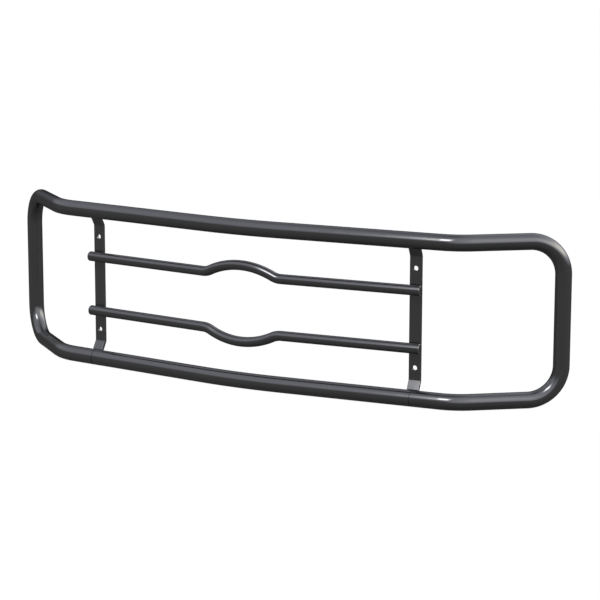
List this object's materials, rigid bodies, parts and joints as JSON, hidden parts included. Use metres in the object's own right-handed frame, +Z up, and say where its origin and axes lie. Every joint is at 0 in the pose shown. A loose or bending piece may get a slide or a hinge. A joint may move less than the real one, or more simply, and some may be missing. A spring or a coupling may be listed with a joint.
{
  "type": "vehicle grille guard",
  "caption": "Full-width front grille guard: a closed hoop of bent round tube with swept-back ends, humped crossbars and flat uprights with bolt holes.",
  "frame": {"origin": "middle of the bounding box's base: the guard stands on the underside of its lower rail", "axes": "+X runs along the width, to the right when the guard is seen from the front; the front faces -Y and the swept-back ends point to +Y, towards the vehicle; +Z is up"},
  "size_m": [1.9922, 0.3184, 0.5368],
  "materials": {
    "hoop_coating": "satin charcoal-black powder coat",
    "crossbar_coating": "satin charcoal-black powder coat",
    "upright_coating": "satin charcoal-black powder coat on hot-rolled flat bar",
    "cap_coating": "satin charcoal-black powder coat",
    "weld_coating": "satin charcoal-black powder coat over weld ripples",
    "sleeve_steel": "bare mill steel, out of sight"
  },
  "bodies": {
    "root": {"upper_hoop": "hoop_coating", "lower_rail": "hoop_coating", "upper_crossbar": "crossbar_coating", "lower_crossbar": "crossbar_coating", "left_upright": "upright_coating", "left_joint_sleeve": "sleeve_steel", "left_joint_weld": "weld_coating", "left_upper_bar_cap": "cap_coating", "left_upper_bar_weld_top": "weld_coating", "left_upper_bar_weld_bottom": "weld_coating", "left_lower_bar_cap": "cap_coating", "left_lower_bar_weld_top": "weld_coating", "left_lower_bar_weld_bottom": "weld_coating", "left_top_foot_weld_front": "weld_coating", "left_top_foot_weld_rear": "weld_coating", "left_bottom_foot_weld_front": "weld_coating", "left_bottom_foot_weld_rear": "weld_coating", "right_upright": "upright_coating", "right_joint_sleeve": "sleeve_steel", "right_joint_weld": "weld_coating", "right_upper_bar_cap": "cap_coating", "right_upper_bar_weld_top": "weld_coating", "right_upper_bar_weld_bottom": "weld_coating", "right_lower_bar_cap": "cap_coating", "right_lower_bar_weld_top": "weld_coating", "right_lower_bar_weld_bottom": "weld_coating", "right_top_foot_weld_front": "weld_coating", "right_top_foot_weld_rear": "weld_coating", "right_bottom_foot_weld_front": "weld_coating", "right_bottom_foot_weld_rear": "weld_coating"}
  },
  "joints": []
}
